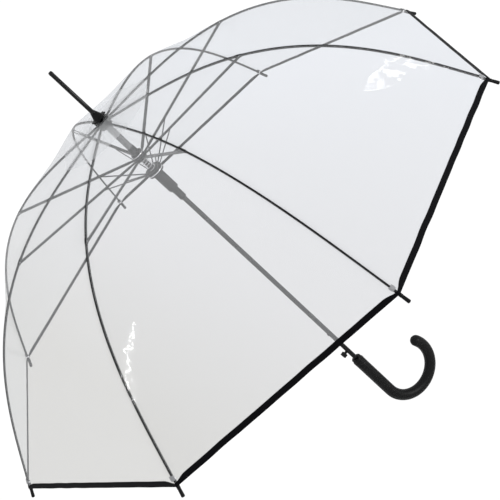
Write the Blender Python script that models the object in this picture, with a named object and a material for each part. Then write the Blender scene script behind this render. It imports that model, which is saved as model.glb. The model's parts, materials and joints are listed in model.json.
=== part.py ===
"""A clear film stick umbrella with an automatic double-strut frame, modelled open.

Metres, +Z up. The origin is the middle of the straight grip on the shaft's axis, +Z runs up the shaft
to the ferrule, and the hook of the handle opens towards +X. Rib 1 lies over +X, and the other ribs
follow clockwise seen from the ferrule.
"""

import math

import bmesh
import bpy
from mathutils import Matrix, Vector

# --- driving dimensions ---
RIBS = 8
GAP = 0.0003                # between pieces that touch
ROUND = 24                  # sides of a round piece

SHAFT_R = 0.0040
SHAFT_BORE_R = 0.0032
SHAFT_TOP = 0.6900
SLIDE_R = 0.0043            # bore of what sits on the shaft

NOTCH_Z = 0.6690            # height of the ribs' pivots
PIVOT_R = 0.0085            # radius of the ribs' pivots and of the stretchers' pivots
HUB_Z = 0.5885              # height of the stretchers' pivots on the upper hub
STRETCH_R = 0.2440          # radius at which a stretcher is pinned to its rib
STRETCH_Z = (NOTCH_Z + HUB_Z) / 2

RIB_LENGTH = 0.6004         # along the curve, from pivot to hem
RIB_SLOPE_TOP = math.radians(4.5)
RIB_SLOPE_TIP = math.radians(55.94)
RIB_CURVE_FROM = 0.0390     # arc lengths between which the slope grows
RIB_CURVE_TO = 0.5663
RIB_WIDTH = 0.0024
RIB_HEIGHT = 0.0030
FLEX_1 = 0.2500             # arc lengths at which the springy rib is taken to bend
FLEX_2 = 0.4000
TIP_SOCKET = 0.0120         # how far a rib's end cap reaches back over the rib
TIP_OUT = 0.0160            # how far it reaches beyond the hem
TIP_R = 0.0023

FILM_LIFT = 0.0028          # film's middle above the rib's centre line
FILM_THICK = 0.00015
CROWN_R = 0.0054            # hole in the film around the shaft
CROWN_Z = 0.6756
CROWN_FLAT_R = 0.0130
CROWN_BLEND_R = 0.0600      # from here out the film lies on the ribs
HEM_WIDTH = 0.0074
HEM_THICK = 0.0010
HEM_LIFT = 0.0031

RUNNER_Z = 0.5590           # height of the links' pivots on the runner
LINK_R = 0.0115             # radius of the links' pivots on the runner
LINK_SHARE = 0.29           # where a link meets its stretcher, as a share from the hub
TAB_HALF = 0.0011           # half width of a stretcher's tab in the hub
CHANNEL_HALF = 0.0021       # half width of the stretcher
CHANNEL_HEIGHT = 0.0028
LINK_WIDTH = 0.0012
LINK_SIDE = CHANNEL_HALF + GAP + LINK_WIDTH / 2     # a link lies this far beside its stretcher
RUNNER_TOP = RUNNER_Z + 0.0036
RUNNER_CROWN_R = 0.0140
RUNNER_CROWN_LOW = 0.5520
RUNNER_BODY_R = 0.00875
RUNNER_BODY_LOW = 0.5120
RUNNER_NECK_R = 0.0060
RUNNER_LOW = 0.4917
SPRING_POCKET_R = 0.0074
SPRING_POCKET_LOW = 0.5215
CATCH_WINDOW = (0.4957, 0.5017)

HUB_LOW = HUB_Z - 0.0036
HUB_TOP = 0.6110
HUB_R = 0.0099

BUTTON_Z = 0.0730
CATCH_Z = 0.1233            # nose that holds the closed runner
HANDLE_TOP = 0.0500
GRIP_LOW = -0.0490          # where the straight grip turns into the hook
HANDLE_R = 0.0101
HOOK_R = 0.0505             # radius of the hook's centre line
HOOK_TURN = math.radians(202)
HANDLE_BORE_LOW = -0.0350

CAP_R = 0.0125
FERRULE_BASE = 0.6905
FERRULE_TOP = 0.7806


# --- helpers ---
def clear_scene():
    for thing in list(bpy.data.objects):
        bpy.data.objects.remove(thing, do_unlink=True)


def material(name, colour, roughness, metallic=0.0, alpha=1.0):
    made = bpy.data.materials.new(name)
    made.use_nodes = True
    shader = made.node_tree.nodes["Principled BSDF"]
    shader.inputs["Base Color"].default_value = (*colour, 1.0)
    shader.inputs["Roughness"].default_value = roughness
    shader.inputs["Metallic"].default_value = metallic
    shader.inputs["Alpha"].default_value = alpha
    made.diffuse_color = (*colour, alpha)
    return made


def mesh_of(name, verts, faces):
    """A mesh with its faces turned outwards."""
    mesh = bpy.data.meshes.new(name)
    mesh.from_pydata([tuple(v) for v in verts], [], faces)
    bm = bmesh.new()
    bm.from_mesh(mesh)
    bmesh.ops.recalc_face_normals(bm, faces=bm.faces)
    bm.to_mesh(mesh)
    bm.free()
    return mesh


def place(name, mesh, finish, turn=0.0, smooth=True):
    """Add an object that shows a mesh, turned about the shaft's axis."""
    made = bpy.data.objects.new(name, mesh)
    bpy.context.collection.objects.link(made)
    if not mesh.materials:
        mesh.materials.append(finish)
    if smooth:
        mesh.shade_smooth()
        mesh.set_sharp_from_angle(angle=math.radians(35))
    made.rotation_euler = (0.0, 0.0, turn)
    return made


def rib_turn(k):
    """The angle about the shaft of rib k, which counts from 0."""
    return -2 * math.pi * k / RIBS


def turned(name, profile, sides=ROUND):
    """A solid of revolution from (radius, height) points in order; a closed ring if no radius is 0."""
    verts, rings = [], []
    for radius, height in profile:
        if radius == 0:
            rings.append([len(verts)])
            verts.append((0, 0, height))
            continue
        rings.append(list(range(len(verts), len(verts) + sides)))
        for n in range(sides):
            a = 2 * math.pi * n / sides
            verts.append((radius * math.cos(a), radius * math.sin(a), height))
    faces = []
    closed = len(rings[0]) > 1
    pairs = list(zip(rings, rings[1:] + (rings[:1] if closed else [])))
    for low, high in pairs if closed else pairs[: len(rings) - 1]:
        for n in range(sides):
            m = (n + 1) % sides
            if len(low) == 1:
                faces.append((low[0], high[n], high[m]))
            elif len(high) == 1:
                faces.append((low[n], low[m], high[0]))
            else:
                faces.append((low[n], low[m], high[m], high[n]))
    return mesh_of(name, verts, faces)


def tube_ring(radius_in, radius_out, low, high):
    return [(radius_in, low), (radius_out, low), (radius_out, high), (radius_in, high)]


def swept(name, stations, section, ends=True):
    """A bar in the XZ plane: section's (side, up) points carried along (x, z, slope down) stations."""
    verts, rings = [], []
    for x, z, slope in stations:
        up = Vector((math.sin(slope), 0, math.cos(slope)))
        ring = []
        for side, lift in section:
            ring.append(len(verts))
            verts.append(Vector((x, side, z)) + up * lift)
        rings.append(ring)
    faces = []
    count = len(section)
    for low, high in zip(rings, rings[1:]):
        for n in range(count):
            m = (n + 1) % count
            faces.append((low[n], low[m], high[m], high[n]))
    if ends:
        faces.append(tuple(reversed(rings[0])))
        faces.append(tuple(rings[-1]))
    return mesh_of(name, verts, faces)


def box_section(width, height):
    w, h = width / 2, height / 2
    return [(-w, -h), (w, -h), (w, h), (-w, h)]


def prism(name, outline, low, high):
    """A flat outline of (x, y) points, extruded from z = low to z = high."""
    count = len(outline)
    verts = [(x, y, low) for x, y in outline] + [(x, y, high) for x, y in outline]
    faces = [tuple(reversed(range(count))), tuple(range(count, 2 * count))]
    for n in range(count):
        m = (n + 1) % count
        faces.append((n, m, m + count, n + count))
    return mesh_of(name, verts, faces)


def boxes(name, corners):
    """One mesh of separate boxes, each a (low, high, turn about the shaft)."""
    verts, faces = [], []
    for low, high, turn in corners:
        first = len(verts)
        spin = Matrix.Rotation(turn, 3, "Z")
        for x in (low[0], high[0]):
            for y in (low[1], high[1]):
                for z in (low[2], high[2]):
                    verts.append(spin @ Vector((x, y, z)))
        for quad in ((0, 1, 3, 2), (4, 6, 7, 5), (0, 4, 5, 1), (2, 3, 7, 6), (0, 2, 6, 4), (1, 5, 7, 3)):
            faces.append(tuple(first + n for n in quad))
    return mesh_of(name, verts, faces)


def boolean(target, mesh, operation="DIFFERENCE"):
    """Cut a mesh out of an object, or join it on."""
    cutter = bpy.data.objects.new(mesh.name, mesh)
    bpy.context.collection.objects.link(cutter)
    cutter.hide_render = True
    cutter.display_type = "WIRE"
    step = target.modifiers.new(mesh.name, "BOOLEAN")
    step.object = cutter
    step.operation = operation
    step.solver = "EXACT"


# --- the curve of a rib ---
def rib_slope(s):
    """How steeply the rib falls, in radians, at arc length s from its pivot."""
    share = min(max((s - RIB_CURVE_FROM) / (RIB_CURVE_TO - RIB_CURVE_FROM), 0.0), 1.0)
    return RIB_SLOPE_TOP + (RIB_SLOPE_TIP - RIB_SLOPE_TOP) * share * share * (3 - 2 * share)


def rib_point(s, lift=0.0):
    """Radius, height and slope of the rib's curve at arc length s, raised along its normal by lift."""
    steps = max(1, math.ceil(abs(s) / 0.002))
    radius, height = PIVOT_R, NOTCH_Z
    for n in range(steps):
        slope = rib_slope(s * (n + 0.5) / steps)
        radius += math.cos(slope) * s / steps
        height -= math.sin(slope) * s / steps
    slope = rib_slope(s)
    return radius + math.sin(slope) * lift, height + math.cos(slope) * lift, slope


def spread(start, end, count):
    return [start + (end - start) * n / count for n in range(count + 1)]


# --- ribs, stretchers and links ---
def rib_meshes():
    """The three lengths of a rib and its end cap, over +X."""
    section = box_section(RIB_WIDTH, RIB_HEIGHT)
    eye = 0.0012
    cap_back = RIB_LENGTH - TIP_SOCKET
    spans = {
        "rib_inner": (-eye, FLEX_1 - GAP / 2, 14),
        "rib_middle": (FLEX_1 + GAP / 2, FLEX_2 - GAP / 2, 10),
        "rib_outer": (FLEX_2 + GAP / 2, cap_back - GAP, 10),
    }
    meshes = {}
    for name, (start, end, count) in spans.items():
        stations = [rib_point(s) for s in spread(start, end, count)]
        meshes[name] = swept(name, stations, section)
    meshes["rib_tip"] = tip_mesh()
    return meshes


def tip_mesh():
    """A round-ended cap over the rib's end, with a collar where the film's corner is held."""
    shift = -0.0012
    x, z, slope = rib_point(RIB_LENGTH, shift)
    profile = [(0, -TIP_SOCKET), (TIP_R * 0.8, -TIP_SOCKET), (TIP_R * 0.8, -0.003), (TIP_R, -0.002)]
    profile += [(TIP_R, 0.003), (TIP_R * 0.86, 0.004), (TIP_R * 0.92, TIP_OUT - 0.0018)]
    profile += [(TIP_R * 0.62, TIP_OUT - 0.0004), (0, TIP_OUT)]
    mesh = turned("rib_tip", profile, 10)
    aim = Matrix.Rotation(math.pi / 2 + slope, 4, "Y")
    mesh.transform(Matrix.Translation((x, 0, z)) @ aim)
    return mesh


def stretcher_mesh():
    """A channel, open below, from a tab in the upper hub to the rib, with no web where it holds the rib."""
    length = math.hypot(STRETCH_R - PIVOT_R, STRETCH_Z - HUB_Z)
    rise = math.atan2(STRETCH_Z - HUB_Z, STRETCH_R - PIVOT_R)
    slot = RIB_WIDTH / 2 + 0.0004
    start, end, fork = 0.0160, length + 0.0012, length - 0.0270
    outline = [(-0.0012, -TAB_HALF), (0.0130, -TAB_HALF), (0.0145, -CHANNEL_HALF), (end, -CHANNEL_HALF)]
    outline += [(x, -y) for x, y in reversed(outline)]
    top, low, web = CHANNEL_HEIGHT / 2, -CHANNEL_HEIGHT / 2, CHANNEL_HEIGHT / 2 - 0.0006
    verts, faces = [], []

    def point(x, y, z):
        verts.append((x, y, z))
        return len(verts) - 1

    above = [point(x, y, top) for x, y in outline]
    below = [point(x, y, low) for x, y in outline]
    inner = {}
    for side in (-1, 1):
        y = side * slot
        inner[side] = {
            "fork_top": point(fork, y, top),
            "fork_web": point(fork, y, web),
            "end_top": point(end, y, top),
            "end_low": point(end, y, low),
            "start_low": point(start, y, low),
            "start_web": point(start, y, web),
        }
    left, right = inner[1], inner[-1]
    slit = [right["end_top"], right["fork_top"], left["fork_top"], left["end_top"]]
    faces.append(above[:4] + slit + above[4:])
    pocket = [right["end_low"], right["start_low"], left["start_low"], left["end_low"]]
    faces.append(below[:4] + pocket + below[4:])
    for n in (0, 1, 2, 4, 5, 6, 7):
        m = (n + 1) % 8
        faces.append((above[n], above[m], below[m], below[n]))
    faces.append((above[3], right["end_top"], right["end_low"], below[3]))
    faces.append((above[4], left["end_top"], left["end_low"], below[4]))
    around = ("fork_top", "end_top", "end_low", "start_low", "start_web", "fork_web")
    for wall in (left, right):
        faces.append([wall[key] for key in around])
    for first, second in (("start_low", "start_web"), ("start_web", "fork_web"), ("fork_web", "fork_top")):
        faces.append((right[first], right[second], left[second], left[first]))
    mesh = mesh_of("stretcher", verts, faces)
    aim = Matrix.Rotation(-rise, 4, "Y")
    mesh.transform(Matrix.Translation((PIVOT_R, 0, HUB_Z)) @ aim)
    return mesh


def link_mesh():
    """A thin strut from the runner to the side of its stretcher."""
    x = PIVOT_R + LINK_SHARE * (STRETCH_R - PIVOT_R)
    z = HUB_Z + LINK_SHARE * (STRETCH_Z - HUB_Z)
    length = math.hypot(x - LINK_R, z - RUNNER_Z)
    rise = math.atan2(z - RUNNER_Z, x - LINK_R)
    end, half = 0.0010, LINK_WIDTH / 2
    outline = [(-end, -half), (length + end, -half), (length + end, half), (-end, half)]
    mesh = prism("link", outline, -0.0008, 0.0008)
    aim = Matrix.Rotation(-rise, 4, "Y")
    mesh.transform(Matrix.Translation((LINK_R, LINK_SIDE, RUNNER_Z)) @ aim)
    return mesh


def build_frame(black):
    meshes = rib_meshes()
    meshes["stretcher"] = stretcher_mesh()
    meshes["link"] = link_mesh()
    for k in range(RIBS):
        for name, mesh in meshes.items():
            place(f"{name}_{k + 1}", mesh, black, rib_turn(k))


# --- pieces on the shaft ---
def slots(name, inner, width, low, high, side=0.0):
    """Eight radial cutters, reaching from radius inner to outside every hub."""
    cutters = []
    for k in range(RIBS):
        box = ((inner, side - width / 2, low), (0.02, side + width / 2, high), rib_turn(k))
        cutters.append(box)
    return boxes(name, cutters)


def build_shaft(black):
    mesh = turned("shaft", tube_ring(SHAFT_BORE_R, SHAFT_R, HANDLE_BORE_LOW + 0.001, SHAFT_TOP))
    shaft = place("shaft", mesh, black)
    windows = [
        ((-0.006, -0.0019, BUTTON_Z - 0.0029), (-0.0015, 0.0019, BUTTON_Z + 0.0029), 0),
        ((-0.006, -0.0019, CATCH_Z - 0.0029), (-0.0015, 0.0019, CATCH_Z + 0.0029), 0),
    ]
    boolean(shaft, boxes("shaft_windows", windows))


def build_top(black, plastic):
    flange_low, flange_top = NOTCH_Z + 0.0032, NOTCH_Z + 0.0060
    low = NOTCH_Z - 0.0090
    profile = [(SLIDE_R, low), (0.0100, low), (0.0108, low + 0.001), (0.0108, flange_low)]
    profile += [(0.0120, flange_low), (0.0120, flange_top), (SLIDE_R, flange_top)]
    notch = place("top_notch", turned("top_notch", profile), plastic)
    boolean(notch, slots("notch_slots", 0.0064, 0.0031, low - 0.001, NOTCH_Z + 0.0022))

    sleeve = tube_ring(SLIDE_R, 0.0055, HUB_TOP + GAP, low - GAP)
    place("stop_sleeve", turned("stop_sleeve", sleeve), plastic)

    boss, disc, rim = CROWN_Z + 0.0006, CROWN_Z + 0.0026, CROWN_Z + 0.0042
    profile = [(SLIDE_R, boss), (0.0075, boss), (0.0075, disc), (CAP_R, disc), (CAP_R, rim)]
    profile += [(0.0088, rim + 0.0006), (0.0072, rim + 0.0045), (0.0050, FERRULE_BASE - GAP)]
    profile += [(SLIDE_R, FERRULE_BASE - GAP)]
    place("top_cap", turned("top_cap", profile), plastic)

    spigot_r, spigot_low = SHAFT_BORE_R - GAP, FERRULE_BASE - 0.0125
    profile = [(0, spigot_low), (spigot_r, spigot_low), (spigot_r, FERRULE_BASE)]
    profile += [(0.0046, FERRULE_BASE), (0.0046, FERRULE_BASE + 0.0016), (0.0036, FERRULE_BASE + 0.0026)]
    profile += [(0.0034, FERRULE_TOP - 0.0030), (0.0031, FERRULE_TOP - 0.0010), (0.0022, FERRULE_TOP)]
    profile += [(0, FERRULE_TOP)]
    place("ferrule", turned("ferrule", profile), black)


def build_hub(plastic):
    collar, ridge = 0.0062, HUB_Z + 0.0110
    profile = [(SLIDE_R, HUB_LOW), (HUB_R, HUB_LOW), (HUB_R, ridge - 0.001), (HUB_R - 0.001, ridge)]
    profile += [(collar, ridge), (collar, HUB_TOP), (SLIDE_R, HUB_TOP)]
    hub = place("upper_hub", turned("upper_hub", profile), plastic)
    boolean(hub, slots("hub_slots", 0.0064, 0.0029, HUB_Z - 0.0022, HUB_TOP + 0.001))


def build_runner(plastic):
    bore = SLIDE_R + 0.0001
    profile = [(bore, RUNNER_LOW), (RUNNER_NECK_R, RUNNER_LOW), (RUNNER_NECK_R, RUNNER_BODY_LOW)]
    profile += [(RUNNER_BODY_R, RUNNER_BODY_LOW + 0.0015), (RUNNER_BODY_R, RUNNER_CROWN_LOW - 0.0015)]
    profile += [(RUNNER_CROWN_R, RUNNER_CROWN_LOW), (RUNNER_CROWN_R, RUNNER_TOP)]
    profile += [(SPRING_POCKET_R, RUNNER_TOP), (SPRING_POCKET_R, SPRING_POCKET_LOW)]
    profile += [(bore, SPRING_POCKET_LOW)]
    runner = place("runner", turned("runner", profile), plastic)
    side_slots = slots("runner_slots", 0.0096, 0.0018, RUNNER_Z - 0.0020, RUNNER_TOP + 0.001, LINK_SIDE)
    boolean(runner, side_slots)
    window = ((-0.0080, -0.0019, CATCH_WINDOW[0]), (-0.0035, 0.0019, CATCH_WINDOW[1]), 0)
    boolean(runner, boxes("catch_window", [window]))


def build_spring(steel):
    """The opening spring, from the runner's pocket up to the hub."""
    coil_r, wire_r, turns, per_turn, sides = 0.0061, 0.00055, 10, 14, 5
    low = SPRING_POCKET_LOW + wire_r + GAP
    high = HUB_LOW - wire_r - GAP
    verts, rings = [], []
    count = turns * per_turn
    for n in range(count + 1):
        a = 2 * math.pi * n / per_turn
        z = low + (high - low) * n / count
        ring = []
        for m in range(sides):
            b = 2 * math.pi * m / sides
            radius = coil_r + wire_r * math.cos(b)
            ring.append(len(verts))
            verts.append((radius * math.cos(a), radius * math.sin(a), z + wire_r * math.sin(b)))
        rings.append(ring)
    faces = [tuple(reversed(rings[0])), tuple(rings[-1])]
    for lower, upper in zip(rings, rings[1:]):
        for m in range(sides):
            k = (m + 1) % sides
            faces.append((lower[m], lower[k], upper[k], upper[m]))
    place("opening_spring", mesh_of("opening_spring", verts, faces), steel)


def build_button(plastic):
    """The release button: a head, a stem through the shaft's wall, and an arm inside with the catch nose."""
    stem = ((-0.0100, -0.0015, BUTTON_Z - 0.0020), (-0.0014, 0.0015, BUTTON_Z + 0.0020), 0)
    button = place("release_button", boxes("release_button", [stem]), plastic, smooth=False)
    head = ((-0.0140, -0.0034, BUTTON_Z - 0.0042), (-0.0072, 0.0034, BUTTON_Z + 0.0042), 0)
    arm = ((-0.0025, -0.0011, BUTTON_Z - 0.0030), (-0.0013, 0.0011, CATCH_Z + 0.0020), 0)
    nose = ((-0.0052, -0.0010, CATCH_Z - 0.0019), (-0.0014, 0.0010, CATCH_Z + 0.0019), 0)
    for name, extra in (("button_head", head), ("button_arm", arm), ("catch_nose", nose)):
        boolean(button, boxes(name, [extra]), "UNION")


def build_handle(plastic):
    """A straight grip with a collar and a bore for the shaft, turning into a round hook over +X."""
    sides = ROUND
    stations = [(0, HANDLE_BORE_LOW, 0, 0.0), (0, HANDLE_BORE_LOW, 0, SLIDE_R), (0, HANDLE_TOP, 0, SLIDE_R)]
    shoulder = [(0.0084, 0), (0.0096, 0.0007), (HANDLE_R + 0.0002, 0.0024), (HANDLE_R + 0.0002, 0.0085)]
    shoulder += [(HANDLE_R - 0.0004, 0.0095), (HANDLE_R - 0.0004, 0.0105), (HANDLE_R, 0.0115)]
    stations += [(0, HANDLE_TOP - drop, 0, radius) for radius, drop in shoulder]
    stations += [(0, z, 0, HANDLE_R) for z in spread(HANDLE_TOP - 0.03, GRIP_LOW, 4)]
    for a in spread(0, HOOK_TURN, 26)[1:]:
        stations.append((HOOK_R - HOOK_R * math.cos(a), GRIP_LOW - HOOK_R * math.sin(a), a, HANDLE_R))
    x, z, a, _ = stations[-1]
    ahead = Vector((math.sin(a), 0, -math.cos(a)))
    for b in spread(0, math.pi / 2, 4)[1:]:
        step = ahead * HANDLE_R * math.sin(b)
        stations.append((x + step.x, z + step.z, a, HANDLE_R * math.cos(b) if b < 1.5 else 0.0))
    verts, rings = [], []
    for x, z, a, radius in stations:
        if radius == 0:
            rings.append([len(verts)])
            verts.append((x, 0, z))
            continue
        across = Vector((math.cos(a), 0, math.sin(a)))
        ring = []
        for n in range(sides):
            b = 2 * math.pi * n / sides
            ring.append(len(verts))
            outward = across * math.cos(b) + Vector((0, 1, 0)) * math.sin(b)
            verts.append(Vector((x, 0, z)) + outward * radius)
        rings.append(ring)
    faces = []
    for low, high in zip(rings, rings[1:]):
        for n in range(sides):
            m = (n + 1) % sides
            if len(low) == 1:
                faces.append((low[0], high[n], high[m]))
            elif len(high) == 1:
                faces.append((low[n], low[m], high[0]))
            else:
                faces.append((low[n], low[m], high[m], high[n]))
    place("handle", mesh_of("handle", verts, faces), plastic)


# --- film and hem ---
def film_point(s):
    """Radius, height and slope of the film over a rib at arc length s."""
    radius, height, slope = rib_point(s, FILM_LIFT)
    start, flat = rib_point(CROWN_FLAT_R - PIVOT_R, FILM_LIFT)[1], CROWN_Z
    share = min(max((radius - CROWN_FLAT_R) / (CROWN_BLEND_R - CROWN_FLAT_R), 0.0), 1.0)
    height += (flat - start) * (1 - share * share * (3 - 2 * share))
    return radius, height, slope


def gore_shell(name, rows, finish):
    """A closed shell whose rows are (radius, height) on its upper side, then back on its lower side."""
    verts, rings = [], []
    for radius, height in rows:
        ring = []
        for k in range(RIBS):
            a = rib_turn(k)
            ring.append(len(verts))
            verts.append((radius * math.cos(a), radius * math.sin(a), height))
        rings.append(ring)
    faces = []
    for low, high in zip(rings, rings[1:] + rings[:1]):
        for n in range(RIBS):
            m = (n + 1) % RIBS
            faces.append((low[n], low[m], high[m], high[n]))
    place(name, mesh_of(name, verts, faces), finish)


def build_canopy(film, binding):
    half = FILM_THICK / 2
    end = RIB_LENGTH - HEM_WIDTH - GAP
    middle = [(CROWN_R, CROWN_Z, 0.0), (CROWN_FLAT_R, CROWN_Z, 0.04)]
    middle += [film_point(s) for s in spread(0.014, 0.054, 4) + spread(0.08, end, 20)]
    upper = [(r + half * math.sin(a), z + half * math.cos(a)) for r, z, a in middle]
    lower = [(r - half * math.sin(a), z - half * math.cos(a)) for r, z, a in middle]
    gore_shell("canopy", upper + lower[::-1], film)

    half = HEM_THICK / 2
    ends = [rib_point(s, HEM_LIFT) for s in (RIB_LENGTH - HEM_WIDTH, RIB_LENGTH)]
    upper = [(r + half * math.sin(a), z + half * math.cos(a)) for r, z, a in ends]
    lower = [(r - half * math.sin(a), z - half * math.cos(a)) for r, z, a in ends]
    gore_shell("hem_binding", upper + lower[::-1], binding)


def main():
    clear_scene()
    black = material("black_steel", (0.02, 0.02, 0.022), 0.35, 0.6)
    plastic = material("black_plastic", (0.015, 0.015, 0.016), 0.5)
    rubber = material("soft_black", (0.018, 0.018, 0.02), 0.6)
    steel = material("spring_steel", (0.25, 0.25, 0.26), 0.3, 1.0)
    film = material("clear_film", (0.9, 0.93, 0.95), 0.08, 0.0, 0.3)
    binding = material("black_binding", (0.015, 0.015, 0.018), 0.8)
    build_shaft(black)
    build_top(black, plastic)
    build_hub(plastic)
    build_runner(plastic)
    build_spring(steel)
    build_button(plastic)
    build_handle(rubber)
    build_frame(black)
    build_canopy(film, binding)


main()
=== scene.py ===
"""Looks of the clear film stick umbrella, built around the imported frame. Metres, +Z up."""
import json
import math
import random

import bmesh
import bpy
from mathutils import Matrix, Vector


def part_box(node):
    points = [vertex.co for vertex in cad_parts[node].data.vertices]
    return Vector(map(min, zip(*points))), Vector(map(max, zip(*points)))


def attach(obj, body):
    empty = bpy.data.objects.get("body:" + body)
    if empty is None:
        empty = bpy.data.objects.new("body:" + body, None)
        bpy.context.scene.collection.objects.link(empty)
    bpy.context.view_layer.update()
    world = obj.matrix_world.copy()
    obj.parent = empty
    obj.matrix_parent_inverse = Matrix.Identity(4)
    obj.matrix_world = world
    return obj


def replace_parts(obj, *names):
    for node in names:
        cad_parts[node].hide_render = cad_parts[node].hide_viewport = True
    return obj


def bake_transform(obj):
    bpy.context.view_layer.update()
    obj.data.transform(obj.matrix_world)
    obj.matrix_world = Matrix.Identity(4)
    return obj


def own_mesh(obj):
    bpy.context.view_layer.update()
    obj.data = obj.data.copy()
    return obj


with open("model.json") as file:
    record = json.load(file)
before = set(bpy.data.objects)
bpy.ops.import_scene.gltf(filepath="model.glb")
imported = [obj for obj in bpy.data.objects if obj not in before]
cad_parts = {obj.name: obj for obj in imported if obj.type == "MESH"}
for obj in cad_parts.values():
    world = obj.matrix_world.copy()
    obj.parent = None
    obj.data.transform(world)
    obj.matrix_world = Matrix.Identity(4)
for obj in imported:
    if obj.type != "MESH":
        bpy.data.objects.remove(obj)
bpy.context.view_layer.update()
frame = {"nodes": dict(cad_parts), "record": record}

# --- the frame's driving dimensions, as the CAD model states them ---
RIBS = 8
NOTCH_Z = 0.6690            # height of the ribs' pivots
PIVOT_R = 0.0085            # radius of the ribs' pivots and of the stretchers' pivots
HUB_Z = 0.5885              # height of the stretchers' pivots on the upper hub
RIB_LENGTH = 0.6004         # along the curve, from pivot to hem
RIB_SLOPE_TOP = math.radians(4.5)
RIB_SLOPE_TIP = math.radians(55.94)
RIB_CURVE_FROM = 0.0390     # arc lengths between which the slope grows
RIB_CURVE_TO = 0.5663
FLEX_1 = 0.2500             # arc lengths at which a rib bends
FLEX_2 = 0.4000
TIP_SOCKET = 0.0120         # how far a rib's end cap reaches back over the rib
TIP_OUT = 0.0160            # how far it reaches beyond the hem
FILM_LIFT = 0.0028          # middle of the CAD film above the rib's centre line
CROWN_Z = 0.6756
CROWN_FLAT_R = 0.0130
CROWN_BLEND_R = 0.0600      # from here out the film lies on the ribs
RUNNER_Z = 0.5590           # height of the links' pivots on the runner
LINK_R = 0.0115             # radius of the links' pivots on the runner
FERRULE_BASE = 0.6905
FERRULE_TOP = 0.7806
HANDLE_TOP = 0.0500
GRIP_LOW = -0.0490          # where the straight grip turns into the hook
HANDLE_R = 0.0101
HANDLE_BORE_LOW = -0.0350
HOOK_R = 0.0505             # radius of the hook's centre line
HOOK_TURN = math.radians(202)
HALF_GORE = math.pi / RIBS

# --- the looks' own dimensions ---
LOOK_LIFT = 0.0019          # the film lies right on the ribs
SAG = 0.0030                # how far a gore is drawn in at its middle
SEAM_HALF = 0.0016          # half width of the welded seam over a rib
PATCH_LIFT = 0.0005         # the second layer of film at the crown, above the first
PATCH_END = 0.0850          # arc length that it reaches
CROWN_START = CROWN_FLAT_R - PIVOT_R
CROWN_END = 0.0120          # arc length at which the film stops bending from the crown to the rib
CROWN_HOLE_R = 0.0050
CROWN_DIP = 0.0010          # how much lower the crown's ring is at its hole
FILM_SLICES = (             # arc lengths, the body's ending, and the share of its width left when folded
    (CROWN_END, 0.0450, "", 0.40),
    (0.0450, 0.1000, "", 0.28),
    (0.1000, 0.1700, "", 0.20),
    (0.1700, 0.2500, "", 0.14),
    (0.2500, 0.4000, "_mid", 0.100),
    (0.4000, 0.5970, "_end", 0.062),
)
HEM_WIDTH = 0.0088
RIB_SECTION = (             # a channel, open below, with rounded shoulders: (side, up)
    (-0.0014, -0.0015), (-0.0014, 0.0009), (-0.0012, 0.0014), (-0.0007, 0.0016), (0.0007, 0.0016),
    (0.0012, 0.0014), (0.0014, 0.0009), (0.0014, -0.0015), (0.0010, -0.0015), (0.0010, 0.0008),
    (-0.0010, 0.0008), (-0.0010, -0.0015),
)
RIB_EYE = 0.0012            # how far a rib reaches back past its pivot
FLEX_REACH = 0.0070         # a rib bends over this length to either side of a flex
TIP_SHIFT = -0.0012         # an end cap's axis below the rib's centre line
TAB_LENGTH = 0.0070         # of the pale tab at each corner of the film
TAB_HALF = 0.0042
JOINT_S = 0.2386            # arc length at which a stretcher is pinned to its rib
SADDLE_SECTION = (          # folded over a rib to carry the pin: (side, up)
    (-0.0017, -0.0024), (-0.0017, 0.0012), (-0.0014, 0.00175), (0.0014, 0.00175), (0.0017, 0.0012),
    (0.0017, -0.0024), (0.00145, -0.0024), (0.00145, 0.0010), (-0.00145, 0.0010), (-0.00145, -0.0024),
)
PIN_R = 0.0008
PIN_HALF = 0.0027
WIRE_R = 0.0005             # of the hoops through the pivots
KNOB_R = 0.0124             # radius at which the knobs stand on the cap's rim
SLEEVE_RIBS = 9
SPRING_LOW = 0.5218
SPRING_HIGH = 0.5846
COIL_R = 0.0061
COIL_WIRE = 0.0007
COIL_TURNS = 12
GRIP_SIDES = 48
PARTING_LINE = 0.00012      # height of the mould's line along the grip

# --- the stage ---
CAMERA_PLACE = Vector((-0.3229, -1.6749, 1.1593))
CAMERA_AIM = Vector((0.0107, -0.0016, 0.3421))
CAMERA_ROLL = math.radians(-46.87)
CAMERA_LENS = 83.09
LIGHTS = (                  # name, place, aim, size, watts
    ("strip", (-1.5, -1.3, 2.3), (0, 0, 0.4), (0.03, 1.1), 2.0),
    ("low_box", (0.95, -1.35, 0.12), (0.05, 0, 0.0), (0.7, 0.7), 9),
    ("side", (1.9, -0.9, 1.2), (0, 0, 0.3), (0.025, 0.9), 0.8),
)
FLOOR_HALF = 12.0
FLOOR_Z = -0.30
WHITE = 1.05                # the backdrop as the camera sees it past the object
SKY = 0.80                  # what lights the object
# Painted shade and light on the film: the backdrop seen through it is darker than white, warmer towards
# -X, cooler and lighter towards +X.
THROUGH_FILM_SHADE = (            # the backdrop as it shows through the film, warm to cool along X
    (0.17, (0.705, 0.698, 0.678, 1)),
    (0.42, (0.800, 0.800, 0.812, 1)),
    (0.94, (0.900, 0.922, 0.970, 1)),
)


# --- materials ---
def new_material(name):
    """A material with no nodes yet, and its nodes and links."""
    made = bpy.data.materials.new(name)
    made.use_nodes = True
    made.node_tree.nodes.clear()
    return made, made.node_tree.nodes, made.node_tree.links


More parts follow.
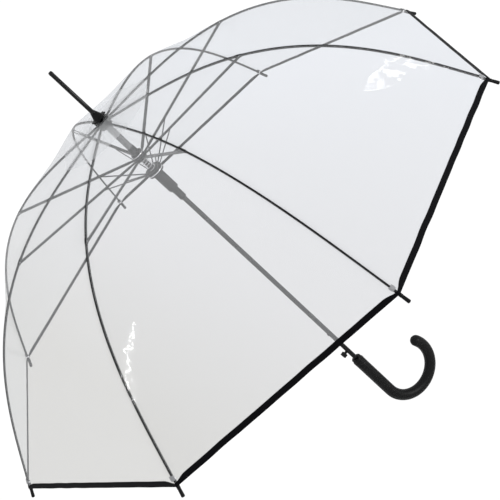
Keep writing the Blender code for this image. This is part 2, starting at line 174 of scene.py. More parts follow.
def principled(name, colour, roughness, bump=0.0, scale=400.0, metallic=0.0, tone_vary=0.15, specular=0.5):
    """A moulded or painted surface: slight tone and gloss variation, and a fine bump."""
    blotch_share, gloss_vary = 0.08, 0.06
    made, nodes, links = new_material(name)
    shader = nodes.new("ShaderNodeBsdfPrincipled")
    out = nodes.new("ShaderNodeOutputMaterial")
    links.new(shader.outputs[0], out.inputs["Surface"])
    shader.inputs["Metallic"].default_value = metallic
    shader.inputs["Specular IOR Level"].default_value = specular
    place = nodes.new("ShaderNodeTexCoord")
    wide = nodes.new("ShaderNodeTexNoise")
    wide.inputs["Scale"].default_value = scale * blotch_share
    wide.inputs["Detail"].default_value = 4.0
    links.new(place.outputs["Object"], wide.inputs["Vector"])
    tone = nodes.new("ShaderNodeMapRange")
    tone.inputs["To Min"].default_value = 1 - tone_vary
    tone.inputs["To Max"].default_value = 1 + tone_vary
    links.new(wide.outputs["Fac"], tone.inputs["Value"])
    tint = nodes.new("ShaderNodeVectorMath")
    tint.operation = "SCALE"
    tint.inputs[0].default_value = colour
    links.new(tone.outputs["Result"], tint.inputs["Scale"])
    links.new(tint.outputs["Vector"], shader.inputs["Base Color"])
    gloss = nodes.new("ShaderNodeMapRange")
    gloss.inputs["To Min"].default_value = roughness - gloss_vary
    gloss.inputs["To Max"].default_value = roughness + gloss_vary
    links.new(wide.outputs["Fac"], gloss.inputs["Value"])
    links.new(gloss.outputs["Result"], shader.inputs["Roughness"])
    if bump:
        fine = nodes.new("ShaderNodeTexNoise")
        fine.inputs["Scale"].default_value = scale
        fine.inputs["Detail"].default_value = 6.0
        links.new(place.outputs["Object"], fine.inputs["Vector"])
        raised = nodes.new("ShaderNodeBump")
        raised.inputs["Strength"].default_value = 0.5
        raised.inputs["Distance"].default_value = bump
        links.new(fine.outputs["Fac"], raised.inputs["Height"])
        links.new(raised.outputs["Normal"], shader.inputs["Normal"])
    return made


def film_material(name, haze, grazing_haze, mirror_low, mirror_high):
    """Clear film: mostly see-through, with a haze that passes light on diffusely, and a gloss."""
    made, nodes, links = new_material(name)
    out = nodes.new("ShaderNodeOutputMaterial")
    clear = nodes.new("ShaderNodeBsdfTransparent")
    clear.inputs["Color"].default_value = (0.985, 0.987, 0.990, 1)
    milky = nodes.new("ShaderNodeBsdfTranslucent")
    milky.inputs["Color"].default_value = (0.97, 0.98, 0.99, 1)
    gloss = nodes.new("ShaderNodeBsdfGlossy")
    gloss.inputs["Color"].default_value = (1, 1, 1, 1)
    gloss.inputs["Roughness"].default_value = 0.05
    place = nodes.new("ShaderNodeTexCoord")
    ripple = nodes.new("ShaderNodeTexNoise")
    ripple.inputs["Scale"].default_value = 14.0
    ripple.inputs["Detail"].default_value = 3.0
    links.new(place.outputs["Object"], ripple.inputs["Vector"])
    raised = nodes.new("ShaderNodeBump")
    raised.inputs["Strength"].default_value = 0.35
    raised.inputs["Distance"].default_value = 0.004
    links.new(ripple.outputs["Fac"], raised.inputs["Height"])
    links.new(raised.outputs["Normal"], gloss.inputs["Normal"])
    edge = nodes.new("ShaderNodeLayerWeight")
    edge.inputs["Blend"].default_value = 0.5
    grazing = nodes.new("ShaderNodeMath")
    grazing.operation = "POWER"
    grazing.inputs[1].default_value = 4.0
    links.new(edge.outputs["Facing"], grazing.inputs[0])
    thicker = nodes.new("ShaderNodeMapRange")
    thicker.inputs["To Min"].default_value = haze
    thicker.inputs["To Max"].default_value = grazing_haze
    links.new(grazing.outputs[0], thicker.inputs["Value"])
    body = nodes.new("ShaderNodeMixShader")
    links.new(thicker.outputs["Result"], body.inputs["Fac"])
    links.new(clear.outputs[0], body.inputs[1])
    links.new(milky.outputs[0], body.inputs[2])
    mirror = nodes.new("ShaderNodeMapRange")
    mirror.inputs["To Min"].default_value = mirror_low
    mirror.inputs["To Max"].default_value = mirror_high
    links.new(grazing.outputs[0], mirror.inputs["Value"])
    whole = nodes.new("ShaderNodeMixShader")
    links.new(mirror.outputs["Result"], whole.inputs["Fac"])
    links.new(body.outputs[0], whole.inputs[1])
    links.new(gloss.outputs[0], whole.inputs[2])
    links.new(whole.outputs[0], out.inputs["Surface"])
    return made


def ribbon_material():
    """Black woven binding tape with a fine rib across it."""
    colour = (0.0030, 0.0030, 0.0040)
    made = principled("hem_ribbon", colour, 0.60, bump=0.00012, scale=2500.0, specular=0.05)
    nodes, links = made.node_tree.nodes, made.node_tree.links
    shader = next(n for n in nodes if n.type == "BSDF_PRINCIPLED")
    shader.inputs["Sheen Weight"].default_value = 0.03
    shader.inputs["Sheen Roughness"].default_value = 0.4
    place = next(n for n in nodes if n.type == "TEX_COORD")
    weave = nodes.new("ShaderNodeTexWave")
    weave.wave_type = "BANDS"
    weave.bands_direction = "DIAGONAL"
    weave.inputs["Scale"].default_value = 700.0
    weave.inputs["Distortion"].default_value = 0.4
    links.new(place.outputs["Object"], weave.inputs["Vector"])
    raised = nodes.new("ShaderNodeBump")
    raised.inputs["Strength"].default_value = 0.6
    raised.inputs["Distance"].default_value = 0.0002
    links.new(weave.outputs["Fac"], raised.inputs["Height"])
    old = next(n for n in nodes if n.type == "BUMP" and n != raised)
    links.new(old.outputs["Normal"], raised.inputs["Normal"])
    links.new(raised.outputs["Normal"], shader.inputs["Normal"])
    return made


# --- mesh helpers ---
def add_mesh(name, verts, faces, finish, smooth=True, sharp=35.0):
    """A piece made of points and faces in the row frame, its faces turned outwards where it is closed."""
    mesh = bpy.data.meshes.new(name)
    mesh.from_pydata([tuple(v) for v in verts], [], faces)
    mesh.materials.append(finish)
    made = bpy.data.objects.new(name, mesh)
    bpy.context.scene.collection.objects.link(made)
    bm = bmesh.new()
    bm.from_mesh(mesh)
    bmesh.ops.recalc_face_normals(bm, faces=bm.faces)
    bm.to_mesh(mesh)
    bm.free()
    if smooth:
        mesh.shade_smooth()
        mesh.set_sharp_from_angle(angle=math.radians(sharp))
    return made


def rib_turn(k):
    """The angle about the shaft of rib k, which counts from 0."""
    return -2 * math.pi * k / RIBS


def turned_about(verts, angle):
    """Points turned about the shaft's axis."""
    spin = Matrix.Rotation(angle, 3, "Z")
    return [spin @ Vector(v) for v in verts]


def lathe(profile, sides=48):
    """Points and faces of a solid of revolution about Z; radius 0 closes an end, and no 0 makes a ring."""
    verts, rings = [], []
    for radius, height in profile:
        if radius == 0:
            rings.append([len(verts)])
            verts.append(Vector((0, 0, height)))
            continue
        rings.append(list(range(len(verts), len(verts) + sides)))
        for n in range(sides):
            a = 2 * math.pi * n / sides
            verts.append(Vector((radius * math.cos(a), radius * math.sin(a), height)))
    pairs = list(zip(rings, rings[1:]))
    if len(rings[0]) > 1:
        pairs.append((rings[-1], rings[0]))
    return verts, ring_faces(pairs)


def ring_faces(pairs):
    """Faces between pairs of rings of point numbers, where a ring of one point is a pole."""
    faces = []
    for low, high in pairs:
        count = max(len(low), len(high))
        for n in range(count):
            m = (n + 1) % count
            if len(low) == 1:
                faces.append((low[0], high[n], high[m]))
            elif len(high) == 1:
                faces.append((low[n], low[m], high[0]))
            else:
                faces.append((low[n], low[m], high[m], high[n]))
    return faces


def capped_faces(rings):
    """Faces along a row of rings, with both ends closed."""
    faces = ring_faces(zip(rings, rings[1:]))
    faces.append(tuple(reversed(rings[0])))
    faces.append(tuple(rings[-1]))
    return faces


def swept(stations, section):
    """Points and faces of a bar in the XZ plane: (side, up) points carried along (x, z, slope down)."""
    verts, rings = [], []
    for x, z, slope in stations:
        up = Vector((math.sin(slope), 0, math.cos(slope)))
        ring = []
        for side, lift in section:
            ring.append(len(verts))
            verts.append(Vector((x, side, z)) + up * lift)
        rings.append(ring)
    return verts, capped_faces(rings)


def moved(verts, matrix):
    """Points carried by a matrix."""
    return [matrix @ Vector(v) for v in verts]


def spread(start, end, count):
    """Evenly spaced values from start to end, in count steps."""
    return [start + (end - start) * n / count for n in range(count + 1)]


# --- the curve of a rib, and the film over it ---
def rib_slope(s):
    """How steeply the rib falls, in radians, at arc length s from its pivot."""
    share = min(max((s - RIB_CURVE_FROM) / (RIB_CURVE_TO - RIB_CURVE_FROM), 0.0), 1.0)
    return RIB_SLOPE_TOP + (RIB_SLOPE_TIP - RIB_SLOPE_TOP) * share * share * (3 - 2 * share)


def rib_point(s, lift=0.0):
    """Radius, height and slope of the rib's curve at arc length s, raised along its normal by lift."""
    steps = max(1, math.ceil(abs(s) / 0.002))
    radius, height = PIVOT_R, NOTCH_Z
    for n in range(steps):
        slope = rib_slope(s * (n + 0.5) / steps)
        radius += math.cos(slope) * s / steps
        height -= math.sin(slope) * s / steps
    slope = rib_slope(s)
    return radius + math.sin(slope) * lift, height + math.cos(slope) * lift, slope


def film_point(s, lift=FILM_LIFT):
    """Radius, height and slope of the film over a rib: flat at the crown, then down on the rib."""
    radius, height, slope = rib_point(s, lift)
    start = rib_point(CROWN_FLAT_R - PIVOT_R, FILM_LIFT)[1]
    share = min(max((radius - CROWN_FLAT_R) / (CROWN_BLEND_R - CROWN_FLAT_R), 0.0), 1.0)
    height += (CROWN_Z - start) * (1 - share * share * (3 - 2 * share))
    return radius, height, slope


# --- film ---
def gore_point(s, across, k, side, lift=LOOK_LIFT):
    """A point of the film: across is 0 on rib k and 1 in the middle of the gore to that side."""
    radius, height, slope = film_point(s, lift)
    out = radius * (1 - across * math.sin(HALF_GORE) ** 2)
    along = side * radius * across * math.sin(HALF_GORE) * math.cos(HALF_GORE)
    draw = SAG * math.sin(math.pi * min(s / RIB_LENGTH, 1.0)) * (1 - math.cos(math.pi * across)) / 2
    out -= draw * math.sin(slope) * math.cos(HALF_GORE * across)
    along -= side * draw * math.sin(slope) * math.sin(HALF_GORE * across)
    height -= draw * math.cos(slope)
    a = rib_turn(k)
    x = out * math.cos(a) - along * math.sin(a)
    y = out * math.sin(a) + along * math.cos(a)
    return Vector((x, y, height))


def gore_normal(s, across, k, side, lift=LOOK_LIFT):
    """The film's direction outwards at a point, from its neighbours down and across the gore."""
    step, share = 0.001, 0.01
    down = gore_point(s + step, across, k, side, lift) - gore_point(s - step, across, k, side, lift)
    over = gore_point(s, across + share, k, side, lift) - gore_point(s, across - share, k, side, lift)
    return (down.cross(over) * side).normalized()


def gather_axis(slope, k, side):
    """The way a half gore flattens as the umbrella folds: across the rib and square to its slope."""
    across, inward = math.cos(HALF_GORE), math.sin(HALF_GORE)
    out = -inward * math.sin(slope) * math.sin(slope)
    up = -inward * math.sin(slope) * math.cos(slope)
    return Matrix.Rotation(rib_turn(k), 3, "Z") @ Vector((out, side * across, up))


def half_gore(name, k, side, start, end, finishes, rows, columns=8, lift=LOOK_LIFT):
    """Film from rib k to the middle of the gore; its first column is the welded seam over the rib, all but
    free of haze so that the rib under it shows dark: painted shade.
    """
    verts, faces, normals = [], [], []
    for s in spread(start, end, rows):
        shaded_weld = SEAM_HALF / (rib_point(s)[0] * math.sin(HALF_GORE))
        for across in [0.0] + spread(min(shaded_weld, 0.5), 1, columns):
            verts.append(gore_point(s, across, k, side, lift))
            normals.append(gore_normal(s, across, k, side, lift))
    for r in range(rows):
        for c in range(columns + 1):
            a = r * (columns + 2) + c
            quad = (a, a + columns + 2, a + columns + 3, a + 1)
            faces.append(quad if side > 0 else quad[::-1])
    mesh = bpy.data.meshes.new(name)
    mesh.from_pydata([tuple(v) for v in verts], [], faces)
    for finish in finishes:
        mesh.materials.append(finish)
    film_or_shaded_weld = [0 if n % (columns + 1) else 1 for n in range(len(faces))]
    mesh.polygons.foreach_set("material_index", film_or_shaded_weld)
    mesh.shade_smooth()
    mesh.normals_split_custom_set_from_vertices([tuple(n) for n in normals])
    made = bpy.data.objects.new(name, mesh)
    bpy.context.scene.collection.objects.link(made)
    return made


def rib_place(k, s, lift=0.0, side=0.0):
    """A point at rib k in the frame."""
    radius, height, _ = rib_point(s, lift)
    return Matrix.Rotation(rib_turn(k), 3, "Z") @ Vector((radius, side, height))


def gather(piece, k, side, s, lift):
    """Give a piece of film its own mesh; the way it would fold in towards its rib is worked out but not
    used.
    """
    axis = gather_axis(rib_point(s)[2], k, side)
    rib_place(k, s, lift)
    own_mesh(piece)


def declare_film(start, end):
    """Work out the radii at both ends of a length of a half gore, cut flat as a strip that widens towards
    the hem; nothing is declared.
    """
    inner, outer = rib_point(start)[0], rib_point(end)[0]


def build_film(film, shaded_weld, patch):
    """Two half gores for each rib, in lengths that follow the rib's own, and the crown's second layer."""
    for k in range(RIBS):
        rib = f"rib_{k + 1}"
        for side, tag in ((1, "a"), (-1, "b")):
            both = (film, film)
            petal = half_gore(f"film_{k + 1}{tag}_0", k, side, CROWN_START, CROWN_END, both, 6, 6)
            declare_film(CROWN_START, CROWN_END)
            rib_place(k, CROWN_START)
            rib_place(k, CROWN_END)
            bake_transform(petal)
            for number, (start, end, part, keep) in enumerate(FILM_SLICES):
                rows = max(3, round((end - start) / 0.010))
                name = f"film_{k + 1}{tag}_{number + 1}"
                piece = half_gore(name, k, side, start, end, (film, shaded_weld), rows)
                if k == 0 and side == 1 and number == 0:
                    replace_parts(piece, "canopy")
                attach(piece, f"{rib}{part}")
                gather(piece, k, side, (start + end) / 2, LOOK_LIFT)
                declare_film(start, end)
            both = (patch, patch)
            lift = LOOK_LIFT + PATCH_LIFT
            name = f"crown_patch_{k + 1}{tag}"
            cover = half_gore(name, k, side, CROWN_END, PATCH_END, both, 8, lift=lift)
            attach(cover, rib)
            gather(cover, k, side, (CROWN_END + PATCH_END) / 2, LOOK_LIFT)
            declare_film(CROWN_END, PATCH_END)
    build_crown_ring(film)


def build_crown_ring(film):
    """The flat middle of the film, held between the cap and the notch."""
    steps, top = 6, film_point(CROWN_START)[1]
    verts, rings = [], []
    for share in spread(0, 1, 4):
        radius = CROWN_HOLE_R + (CROWN_FLAT_R - CROWN_HOLE_R) * share
        height = top - CROWN_DIP * (1 - share)
        ring = []
        for k in range(RIBS):
            for step in range(steps):
                a = -2 * math.pi * (k + step / steps) / RIBS
                flat = math.cos(HALF_GORE) / math.cos((step / steps) * 2 * HALF_GORE - HALF_GORE)
                ring.append(len(verts))
                verts.append(Vector((radius * flat * math.cos(a), radius * flat * math.sin(a), height)))
        rings.append(ring)
    faces = ring_faces(zip(rings, rings[1:]))
    ring = add_mesh("film_crown", verts, faces, film)
    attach(ring, "mast")


# --- hem ---
def build_hem(ribbon):
    """Binding tape folded over the film's edge, one length for each half gore."""
    start, end = FILM_SLICES[-1][:2]
    columns = 32
    for k in range(RIBS):
        for side, tag in ((1, "a"), (-1, "b")):
            rng = random.Random(10 * k + side)
            waves = []
            for _ in range(3):
                waves.append((rng.uniform(8, 30), rng.uniform(0, 6.3), rng.uniform(0.0001, 0.0002)))
            verts, rings = [], []
            for across in spread(0, 1, columns):
                fade = math.sin(math.pi * across)
                taper = min(across / 0.10, 1.0)
                top = RIB_LENGTH - HEM_WIDTH * (0.55 + 0.45 * taper * taper * (3 - 2 * taper))
                wave = fade * sum(size * math.sin(rate * across + phase) for rate, phase, size in waves)
                fold = RIB_LENGTH - 0.0008 + wave
                section = [(top + wave, 0.0024), (fold, 0.0026), (RIB_LENGTH + wave * 1.2, 0.0021)]
                section += [(fold, 0.0015), (top + 0.0002 + wave, 0.0013)]
                ring = []
                for s, lift in section:
                    ring.append(len(verts))
                    verts.append(gore_point(s, across, k, side, lift))
                rings.append(ring)
            faces = capped_faces(rings)
            piece = add_mesh(f"hem_{k + 1}{tag}", verts, faces, ribbon, sharp=50)
            if k == 0 and side == 1:
                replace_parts(piece, "hem_binding")
            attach(piece, f"rib_{k + 1}_end")
            gather(piece, k, side, (start + end) / 2, LOOK_LIFT)


# --- ribs ---
def bar(name, k, start, end, count, steel, section=RIB_SECTION):
    """A length of rib k, or of a saddle on it."""
    stations = [rib_point(s) for s in spread(start, end, count)]
    verts, faces = swept(stations, section)
    return add_mesh(name, turned_about(verts, rib_turn(k)), faces, steel)


def build_ribs(steel):
    """Three stiff lengths to a rib, and two short ones over the flexes between them, left fixed where they
    are built.
    """
    lengths = (
        ("inner", "", -RIB_EYE, FLEX_1 - FLEX_REACH, 26),
        ("middle", "_mid", FLEX_1 + FLEX_REACH, FLEX_2 - FLEX_REACH, 18),
        ("outer", "_end", FLEX_2 + FLEX_REACH, RIB_LENGTH - TIP_SOCKET, 18),
    )
    bends = ((FLEX_1, "", "_mid", "middle"), (FLEX_2, "_mid", "_end", "outer"))
    for k in range(RIBS):
        n = k + 1
        for word, part, start, end, count in lengths:
            length = bar(f"rib_bar_{n}_{word}", k, start, end, count, steel)
            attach(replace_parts(length, f"rib_{word}_{n}"), f"rib_{n}{part}")
        for at, before, after, word in bends:
            start, end = at - FLEX_REACH, at + FLEX_REACH
            bend = bar(f"rib_bar_{n}_bend_{word}", k, start, end, 10, steel)
            places = rib_place(k, start), rib_place(k, end)
            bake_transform(bend)


def build_tips(plastic, bright):
    """Rod-shaped caps on the rib ends, each with a bright clip that holds the film's corner."""
    x, z, slope = rib_point(RIB_LENGTH, TIP_SHIFT)
    aim = Matrix.Translation((x, 0, z)) @ Matrix.Rotation(math.pi / 2 + slope, 4, "Y")
    profile = [(0, -TIP_SOCKET), (0.0019, -TIP_SOCKET), (0.0021, -0.0116)]
    profile += [(0.0021, -0.0032), (0.0026, -0.0026)]
    profile += [(0.0027, -0.0018), (0.0027, 0.0026), (0.0026, 0.0033), (0.0024, 0.0037), (0.0025, 0.0060)]
    profile += [(0.0027, 0.0130), (0.0027, 0.0142), (0.0026, 0.0149), (0.0020, 0.0156), (0.0011, 0.0159)]
    profile.append((0, TIP_OUT))
    cap_verts, cap_faces = lathe(profile, 24)
    clip = [(0.0022, -0.0125), (0.0026, -0.0122), (0.0026, -0.0096), (0.0022, -0.0093)]
    clip_verts, clip_faces = lathe(clip, 20)
    for k in range(RIBS):
        n = k + 1
        there = turned_about(moved(cap_verts, aim), rib_turn(k))
        cap = add_mesh(f"tip_cap_{n}", there, cap_faces, plastic)
        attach(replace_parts(cap, f"rib_tip_{n}"), f"rib_{n}_end")
        there = turned_about(moved(clip_verts, aim), rib_turn(k))
        ring = add_mesh(f"tip_clip_{n}", there, clip_faces, bright)
        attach(ring, f"rib_{n}_end")


def build_corner_tabs(pale):
    """Small pale tabs that hold the film's corners to the rib ends, one per rib."""
    end = RIB_LENGTH - HEM_WIDTH + 0.0005
    start = end - TAB_LENGTH
    for k in range(RIBS):
        verts, rings = [], []
        for s in spread(start, end, 4):
            share = (s - start) / (end - start)
            narrow = TAB_HALF * (0.62 + 0.38 * math.sin(math.pi * (0.2 + 0.6 * share)))
            sides = spread(-narrow, narrow, 6)
            ring = []
            for lift, row in ((0.0031, sides), (0.0025, sides[::-1])):
                for side in row:
                    across = abs(side) / (rib_point(s)[0] * math.sin(HALF_GORE))
                    ring.append(len(verts))
                    verts.append(gore_point(s, across, k, 1 if side >= 0 else -1, lift))
            rings.append(ring)
        faces = capped_faces(rings)
        tab = add_mesh(f"corner_tab_{k + 1}", verts, faces, pale, sharp=50)
        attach(tab, f"rib_{k + 1}_end")


def rod(name, start, end, radius, finish, slot, sides=16):
    """A round pin with rounded ends between two points."""
    start, end = Vector(start), Vector(end)
    length = (end - start).length
    soft = radius * 0.35
    profile = [(0, 0), (radius - soft, 0), (radius, soft), (radius, length - soft)]
    profile += [(radius - soft, length), (0, length)]
    verts, faces = lathe(profile, sides)
    aim = Matrix.Translation(start) @ (end - start).to_track_quat("Z", "Y").to_matrix().to_4x4()
    return add_mesh(name, moved(verts, aim), faces, finish)


def build_joints(steel, bright):
    """Pins, and the saddles that carry them on the ribs."""
    for k in range(RIBS):
        n = k + 1
        plate = bar(f"saddle_{n}", k, JOINT_S - 0.0060, JOINT_S + 0.0040, 6, steel, SADDLE_SECTION)
        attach(plate, f"rib_{n}")
        ends = [rib_place(k, JOINT_S, 0.0, side) for side in (-PIN_HALF, PIN_HALF)]
        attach(rod(f"stretcher_pin_{n}", *ends, PIN_R, bright, "spring_steel"), f"rib_{n}")


def wire_ring(verts, radius, wire, angle, z, sides=10):
    """Add one ring of points round a wire that runs about the shaft, and return their numbers."""
    ring = []
    for m in range(sides):
        b = 2 * math.pi * m / sides
        out = radius + wire * math.cos(b)
        ring.append(len(verts))
        verts.append(Vector((out * math.cos(angle), out * math.sin(angle), z + wire * math.sin(b))))
    return ring


def wire_hoop(name, radius, z, finish, body):
    """A wire hoop through the pivots around the shaft."""
    stations, verts = 64, []
    rings = [wire_ring(verts, radius, WIRE_R, 2 * math.pi * n / stations, z) for n in range(stations)]
    made = add_mesh(name, verts, ring_faces(zip(rings, rings[1:] + rings[:1])), finish)
    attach(made, body)


# --- pieces on the shaft ---
def softened(node, name, width, finish, body):
    """A copy of a CAD node with its edges rounded, in its place."""
    mesh = frame["nodes"][node].data.copy()
    mesh.name = name
    mesh.materials.clear()
    mesh.materials.append(finish)
    made = bpy.data.objects.new(name, mesh)
    bpy.context.scene.collection.objects.link(made)
    weld = made.modifiers.new("weld", "WELD")
    weld.merge_threshold = 0.00002
    soft = made.modifiers.new("soft", "BEVEL")
    soft.width = width
    soft.segments = 3
    soft.limit_method = "ANGLE"
    soft.angle_limit = math.radians(28)
    graph = bpy.context.evaluated_depsgraph_get()
    final = bpy.data.meshes.new_from_object(made.evaluated_get(graph))
    made.modifiers.clear()
    made.data = final
    final.shade_smooth()
    final.set_sharp_from_angle(angle=math.radians(40))
    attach(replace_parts(made, node), body)


def build_ferrule(gloss, plastic):
    """The rod above the cap, and the knobs on the cap's rim."""
    base, top = FERRULE_BASE, FERRULE_TOP
    profile = [(0, base - 0.0125), (0.0029, base - 0.0125), (0.0029, base), (0.0046, base)]
    profile += [(0.0047, base + 0.0004), (0.0047, base + 0.0013)]
    profile += [(0.0042, base + 0.0020), (0.0037, base + 0.0026)]
    profile += [(0.0035, base + 0.0034), (0.0034, top - 0.0052)]
    profile += [(0.0036, top - 0.0049), (0.0036, top - 0.0036)]
    profile += [(0.0034, top - 0.0032), (0.0034, top - 0.0024)]
    profile += [(0.0032, top - 0.0010), (0.0027, top - 0.0003)]
    profile += [(0.0022, top), (0, top)]
    verts, faces = lathe(profile, 40)
    piece = add_mesh("ferrule_rod", verts, faces, gloss)
    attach(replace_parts(piece, "ferrule"), "mast")

    half = [(0.0008, 0.0012), (0.0013, 0.0006)]
    profile = [(0, -0.0014)] + [(r, -z) for r, z in half] + [(0.0014, 0)] + half[::-1] + [(0, 0.0014)]
    verts, faces = lathe(profile, 16)
    for n in range(RIBS):
        a = 2 * math.pi * (n + 0.5) / RIBS
        centre = Vector((KNOB_R * math.cos(a), KNOB_R * math.sin(a), CROWN_Z + 0.0034))
        knob = add_mesh(f"cap_knob_{n + 1}", [v + centre for v in verts], faces, plastic)
        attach(knob, "mast")


def build_sleeve(finish):
    """The ribbed sleeve that stops the hub below the notch."""
    low, high = (v.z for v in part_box("stop_sleeve"))
    bore, groove, crest = 0.0043, 0.0050, 0.0055
    pitch = (high - low) / SLEEVE_RIBS
    profile = [(bore, high), (bore, low)]
    for n in range(SLEEVE_RIBS):
        start = low + (high - low) * n / SLEEVE_RIBS
        profile += [(groove, start), (groove, start + 0.3 * pitch)]
        profile += [(crest, start + 0.38 * pitch), (crest, start + 0.92 * pitch)]
    profile.append((groove, high))
    verts, faces = lathe(profile, 36)
    piece = add_mesh("sleeve_tube", verts, faces, finish)
    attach(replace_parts(piece, "stop_sleeve"), "mast")


def band(name, radius, z, finish, body):
    """A bright band pressed round a hub."""
    inner, edge, outer, height = radius - 0.0002, radius + 0.0002, radius + 0.0003, 0.0014
    profile = [(inner, z), (edge, z), (outer, z + 0.0002)]
    profile += [(outer, z + 0.0012), (edge, z + height), (inner, z + height)]
    verts, faces = lathe(profile)
    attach(add_mesh(name, verts, faces, finish), body)


def build_spring(steel):
    """The opening spring, wound a little closer at its ends."""
    per_turn = 32
    count = COIL_TURNS * per_turn
    verts, rings = [], []
    for n in range(count + 1):
        t = n / count
        rise = t * 0.86 + 0.14 * (t * t * (3 - 2 * t))
        z = SPRING_LOW + COIL_WIRE + (SPRING_HIGH - SPRING_LOW - 2 * COIL_WIRE) * rise
        rings.append(wire_ring(verts, COIL_R, COIL_WIRE, 2 * math.pi * n / per_turn, z))
    coil = add_mesh("spring_coil", verts, capped_faces(rings), steel)
    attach(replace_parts(coil, "opening_spring"), "runner")
    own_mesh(coil)


# --- handle ---
def build_handle(rubber):
    """The grip, from its stepped collar round the hook to its rounded end."""
    top = HANDLE_TOP
    shoulder = [(0.0044, HANDLE_BORE_LOW), (0.0044, top - 0.0004), (0.0048, top)]
    shoulder += [(0.0080, top), (0.0087, top - 0.0003)]
    shoulder += [(0.0091, top - 0.0010), (0.0092, top - 0.0050)]
    shoulder += [(0.0093, top - 0.0058), (0.0100, top - 0.0062)]
    shoulder += [(0.0103, top - 0.0070), (0.0103, top - 0.0116)]
    shoulder += [(0.0102, top - 0.0124), (0.0097, top - 0.0128)]
    shoulder += [(0.0096, top - 0.0134), (0.0097, top - 0.0140), (0.0101, top - 0.0146)]
    stations = [(0.0, HANDLE_BORE_LOW, 0.0, 0.0)] + [(0.0, z, 0.0, r) for r, z in shoulder]
    stations += [(0.0, z, 0.0, HANDLE_R) for z in spread(top - 0.020, GRIP_LOW, 14)]
    for a in spread(0, HOOK_TURN, 72)[1:]:
        stations.append((HOOK_R - HOOK_R * math.cos(a), GRIP_LOW - HOOK_R * math.sin(a), a, HANDLE_R))
    x, z, a, _ = stations[-1]
    ahead = Vector((math.sin(a), 0, -math.cos(a)))
    for b in spread(0, math.pi / 2, 10)[1:]:
        step = ahead * HANDLE_R * math.sin(b)
        radius = HANDLE_R * math.cos(b)
        stations.append((x + step.x, z + step.z, a, radius if radius > 1e-5 else 0.0))
    verts, rings = [], []
    for x, z, a, radius in stations:
        if radius == 0:
            rings.append([len(verts)])
            verts.append(Vector((x, 0, z)))
            continue
        across = Vector((math.cos(a), 0, math.sin(a)))
        ring = []
        for n in range(GRIP_SIDES):
            b = 2 * math.pi * n / GRIP_SIDES
            on_line = radius >= HANDLE_R * 0.99 and n % (GRIP_SIDES // 2) == 0
            swell = radius + PARTING_LINE if on_line else radius
            outward = across * math.cos(b) + Vector((0, 1, 0)) * math.sin(b)
            ring.append(len(verts))
            verts.append(Vector((x, 0, z)) + outward * swell)
        rings.append(ring)
    faces = ring_faces(zip(rings, rings[1:]))
    grip = add_mesh("grip", verts, faces, rubber)
    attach(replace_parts(grip, "handle"), "mast")


# --- carried-over CAD nodes ---
def finish_nodes(finishes):
    """Give every CAD node that stays its material."""
    slots = {s["node"]: s["material_slot"] for s in frame["record"]["subparts"]}
    for name, node in frame["nodes"].items():
        node.data.materials.clear()
        node.data.materials.append(finishes[slots[name]])


# --- camera, lights and floor ---
def build_camera():
    """A long lens from above, rolled so that the shaft runs down to the right."""
    data = bpy.data.cameras.new("camera")
    data.lens = CAMERA_LENS
    data.sensor_width = 36.0
    data.clip_start, data.clip_end = 0.05, 50.0
    camera = bpy.data.objects.new("camera", data)
    bpy.context.scene.collection.objects.link(camera)
    camera.location = CAMERA_PLACE
    level = (CAMERA_AIM - CAMERA_PLACE).to_track_quat("-Z", "Y").to_matrix()
    camera.rotation_euler = (level @ Matrix.Rotation(CAMERA_ROLL, 3, "Z")).to_euler()
    bpy.context.scene.camera = camera


def area_light(name, place, aim, size, power):
    """A soft lamp that the camera doesn't see."""
    data = bpy.data.lights.new(name, "AREA")
    data.shape = "RECTANGLE"
    data.size, data.size_y = size
    data.energy = power
    lamp = bpy.data.objects.new(name, data)
    bpy.context.scene.collection.objects.link(lamp)
    lamp.location = place
    lamp.rotation_euler = (Vector(aim) - Vector(place)).to_track_quat("-Z", "Y").to_euler()
    lamp.visible_camera = False


def backdrop_and_film_shade(nodes, links, vector, low, high):
    """White for the camera's own view, and behind clear film a darker tone, warm to cool along X: painted
    shade and light on the film.
    """
    split = nodes.new("ShaderNodeSeparateXYZ")
    links.new(vector, split.inputs[0])
    share = nodes.new("ShaderNodeMapRange")
    share.inputs["From Min"].default_value = low
    share.inputs["From Max"].default_value = high
    links.new(split.outputs["X"], share.inputs["Value"])
    tone = nodes.new("ShaderNodeValToRGB")
    stops = tone.color_ramp.elements
    while len(stops) < len(THROUGH_FILM_SHADE):
        stops.new(0.5)
    for stop, (place, colour) in zip(stops, THROUGH_FILM_SHADE):
        stop.position, stop.color = place, colour
    links.new(share.outputs["Result"], tone.inputs["Fac"])
    path = nodes.new("ShaderNodeLightPath")
    behind = nodes.new("ShaderNodeMath")
    behind.operation = "GREATER_THAN"
    behind.inputs[1].default_value = 0.5
    links.new(path.outputs["Transparent Depth"], behind.inputs[0])
    seen = nodes.new("ShaderNodeMix")
    seen.data_type = "RGBA"
    seen.inputs["A"].default_value = (WHITE, WHITE, WHITE, 1)
    links.new(behind.outputs[0], seen.inputs["Factor"])
    links.new(tone.outputs["Color"], seen.inputs["B"])
    return path.outputs["Is Camera Ray"], seen.outputs["Result"]


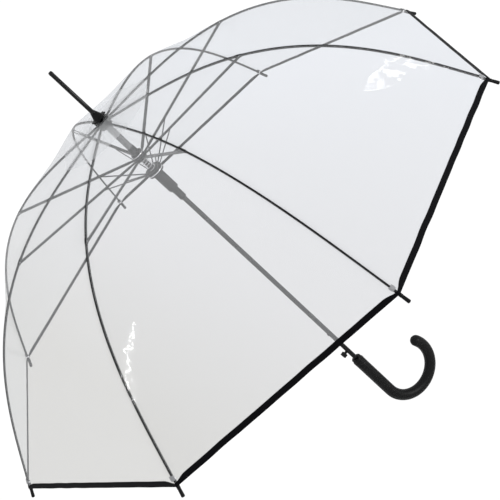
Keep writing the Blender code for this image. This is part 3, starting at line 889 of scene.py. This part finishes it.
def build_world():
    """A pale studio all round: white for the camera, and softer for what lights the object."""
    world = bpy.data.worlds.new("studio")
    bpy.context.scene.world = world
    world.use_nodes = True
    nodes, links = world.node_tree.nodes, world.node_tree.links
    nodes.clear()
    place = nodes.new("ShaderNodeTexCoord")
    # Behind the film the studio shows a darker tone: painted shade and light on the film.
    is_camera, colour = backdrop_and_film_shade(nodes, links, place.outputs["Generated"], -0.4, 0.5)
    seen = nodes.new("ShaderNodeBackground")
    links.new(colour, seen.inputs["Color"])
    lit = nodes.new("ShaderNodeBackground")
    lit.inputs["Color"].default_value = (0.985, 0.992, 1.0, 1)
    lit.inputs["Strength"].default_value = SKY
    mix = nodes.new("ShaderNodeMixShader")
    out = nodes.new("ShaderNodeOutputWorld")
    links.new(is_camera, mix.inputs["Fac"])
    links.new(lit.outputs[0], mix.inputs[1])
    links.new(seen.outputs[0], mix.inputs[2])
    links.new(mix.outputs[0], out.inputs["Surface"])


def build_floor():
    """A wide pale floor below the handle, as bright to the camera as the studio round it."""
    made, nodes, links = new_material("floor_white")
    place = nodes.new("ShaderNodeNewGeometry")
    # Behind the film the floor shows the same painted shade and light as the studio.
    is_camera, colour = backdrop_and_film_shade(nodes, links, place.outputs["Position"], -0.6, 1.2)
    out = nodes.new("ShaderNodeOutputMaterial")
    matte = nodes.new("ShaderNodeBsdfDiffuse")
    matte.inputs["Color"].default_value = (0.9, 0.9, 0.9, 1)
    bright = nodes.new("ShaderNodeEmission")
    links.new(colour, bright.inputs["Color"])
    mix = nodes.new("ShaderNodeMixShader")
    links.new(is_camera, mix.inputs["Fac"])
    links.new(matte.outputs[0], mix.inputs[1])
    links.new(bright.outputs[0], mix.inputs[2])
    links.new(mix.outputs[0], out.inputs["Surface"])
    mesh = bpy.data.meshes.new("floor")
    corners = [(x * FLOOR_HALF, y * FLOOR_HALF, FLOOR_Z) for x, y in ((-1, -1), (1, -1), (1, 1), (-1, 1))]
    mesh.from_pydata(corners, [], [(0, 1, 2, 3)])
    mesh.materials.append(made)
    floor = bpy.data.objects.new("floor", mesh)
    bpy.context.scene.collection.objects.link(floor)


def build_finishes():
    """The object's materials, by name."""
    steel, enamel, rubber = (0.004, 0.004, 0.0045), (0.002, 0.002, 0.0022), (0.004, 0.004, 0.0042)
    sleeve, tab = (0.16, 0.16, 0.165), (0.30, 0.30, 0.31)
    return {
        "film": film_material("clear_film_sheet", 0.205, 0.27, 0.03, 0.16),
        # The welded seam over each rib is real; its near lack of haze is painted shade, the rib's shadow
        # on the film's glow.
        "shaded_weld": film_material("clear_film_seam", 0.01, 0.03, 0.012, 0.08),
        "patch": film_material("clear_film_patch", 0.34, 0.36, 0.02, 0.10),
        "ribbon": ribbon_material(),
        "steel": principled("black_painted_steel", steel, 0.26, 0.00001, 900, specular=0.20),
        "enamel": principled("black_gloss_enamel", enamel, 0.12, 0.000005, 700, specular=0.30),
        "plastic": principled("black_moulded_plastic", steel, 0.42, 0.00003, 1200, specular=0.14),
        "rubber": principled("soft_grip_black", rubber, 0.40, 0.00002, 1500, specular=0.16),
        "bright": principled("bright_spring_steel", (0.80, 0.80, 0.82), 0.24, metallic=1.0),
        "sleeve": principled("pale_sleeve_plastic", sleeve, 0.45, 0.00003, 900, tone_vary=0.5),
        "tab": principled("pale_tab_plastic", tab, 0.35, 0.00002, 900),
    }


def main():
    """Set the stage, then build the pieces from the film down to the handle."""
    bpy.context.scene.view_settings.view_transform = "Standard"
    build_camera()
    build_world()
    build_floor()
    for light in LIGHTS:
        area_light(*light)
    looks = build_finishes()
    steel, plastic, bright = looks["steel"], looks["plastic"], looks["bright"]
    finish_nodes({
        "black_steel": steel, "black_plastic": plastic, "handle_grip": looks["rubber"],
        "clear_film": looks["film"], "hem_binding": looks["ribbon"], "spring_steel": bright,
    })
    build_film(looks["film"], looks["shaded_weld"], looks["patch"])
    build_hem(looks["ribbon"])
    build_ribs(steel)
    build_tips(plastic, bright)
    build_corner_tabs(looks["tab"])
    build_joints(steel, bright)
    build_ferrule(looks["enamel"], plastic)
    softened("top_cap", "cap_disc", 0.0004, plastic, "mast")
    softened("top_notch", "notch_block", 0.0003, plastic, "mast")
    build_sleeve(looks["sleeve"])
    band("hub_band", 0.0100, HUB_Z + 0.0062, bright, "hub")
    band("runner_band", 0.0140, RUNNER_Z - 0.0040, bright, "runner")
    softened("upper_hub", "hub_block", 0.0003, plastic, "hub")
    softened("runner", "runner_block", 0.0004, plastic, "runner")
    softened("release_button", "button_block", 0.0009, plastic, "button")
    wire_hoop("notch_wire", PIVOT_R, NOTCH_Z, bright, "mast")
    wire_hoop("hub_wire", PIVOT_R, HUB_Z, bright, "hub")
    wire_hoop("runner_wire", LINK_R, RUNNER_Z, bright, "runner")
    build_spring(bright)
    build_handle(looks["rubber"])


main()
